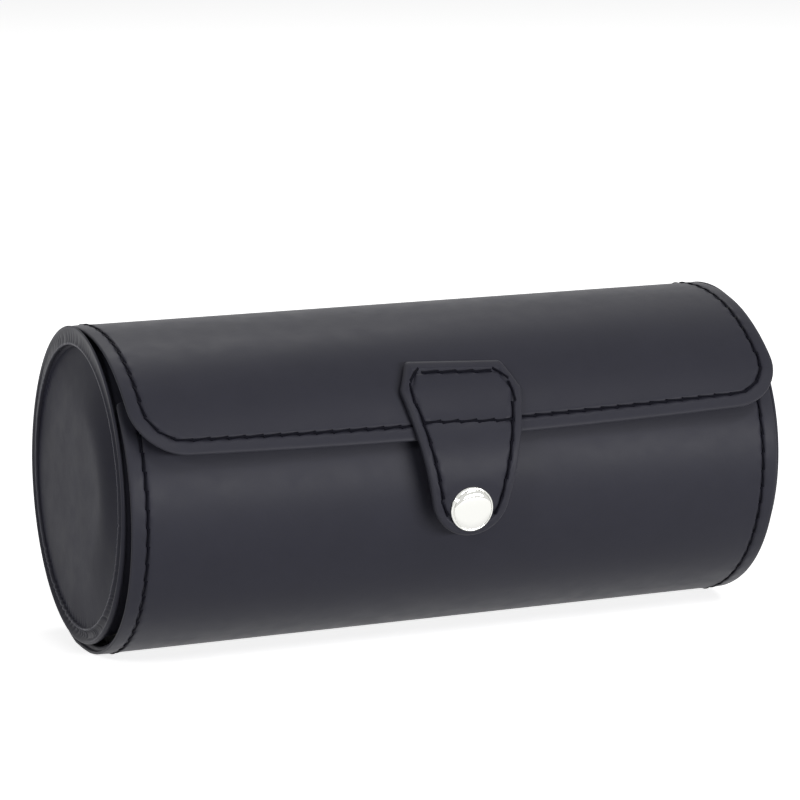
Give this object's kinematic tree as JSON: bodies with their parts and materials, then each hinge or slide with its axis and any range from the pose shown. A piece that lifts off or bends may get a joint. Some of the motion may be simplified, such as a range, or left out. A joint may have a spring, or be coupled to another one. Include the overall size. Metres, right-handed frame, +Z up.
{
  "type": "watch travel case",
  "caption": "Cylindrical leather travel case with a hinged flap, a tab with a press stud, and pillows for watches in lined cells.",
  "frame": {"origin": "centre of the flat on the underside that the case rests on, midway along the drum", "axes": "+X along the drum to its right end as seen from the front, -Y out of the front where the tab closes, +Z up"},
  "size_m": [0.187, 0.0959, 0.0874],
  "materials": {
    "leather": "satin",
    "end_leather": "satin",
    "backing_leather": "matte",
    "velour": "matte",
    "pillow_velour": "matte",
    "card": "matte",
    "foam": "matte",
    "thread": "satin",
    "stud_metal": "satin",
    "polished_cap": "polished"
  },
  "bodies": {
    "case": {"drum_tube": "card", "trough_lining": "velour", "left_rim_band": "leather", "right_rim_band": "leather", "left_end_board": "card", "right_end_board": "card", "left_end_cover": "end_leather", "right_end_cover": "end_leather", "left_end_lining": "velour", "right_end_lining": "velour", "left_divider_board": "card", "right_divider_board": "card", "left_divider_cover": "velour", "right_divider_cover": "velour", "wrap_padding": "foam", "wrap_board": "card", "wrap_leather": "leather", "wrap_thread": "thread", "stud": "stud_metal", "stud_rivet": "stud_metal"},
    "flap": {"flap_leather": "leather", "flap_board": "card", "flap_lining": "velour", "flap_thread": "thread", "tab_root": "leather", "tab_root_backing": "backing_leather", "tab_root_thread": "thread"},
    "tab": {"tab_leather": "leather", "tab_backing": "backing_leather", "tab_thread": "thread", "snap_cap": "polished_cap", "snap_socket": "stud_metal", "snap_spring": "stud_metal"},
    "left_pillow": {"left_pillow_cover": "pillow_velour", "left_pillow_foam": "foam"},
    "middle_pillow": {"middle_pillow_cover": "pillow_velour", "middle_pillow_foam": "foam"},
    "right_pillow": {"right_pillow_cover": "pillow_velour", "right_pillow_foam": "foam"}
  },
  "joints": [
    {"name": "flap_hinge", "type": "hinge", "parent": "case", "child": "flap", "pos_m": [0, 0.03709, 0.06602], "axis": [-1, 0, 0], "range_deg": [0, 160]},
    {"name": "tab_bend", "type": "hinge", "parent": "flap", "child": "tab", "pos_m": [0, -0.0472, 0.0611], "axis": [-1, 0, 0], "range_deg": [0, 80], "deforming": ["snap_spring"]},
    {"name": "left_pillow_lift", "type": "slide", "parent": "case", "child": "left_pillow", "axis": [0, 0, 1], "range_m": [0, 0.02]},
    {"name": "middle_pillow_lift", "type": "slide", "parent": "case", "child": "middle_pillow", "axis": [0, 0, 1], "range_m": [0, 0.02]},
    {"name": "right_pillow_lift", "type": "slide", "parent": "case", "child": "right_pillow", "axis": [0, 0, 1], "range_m": [0, 0.02]}
  ]
}
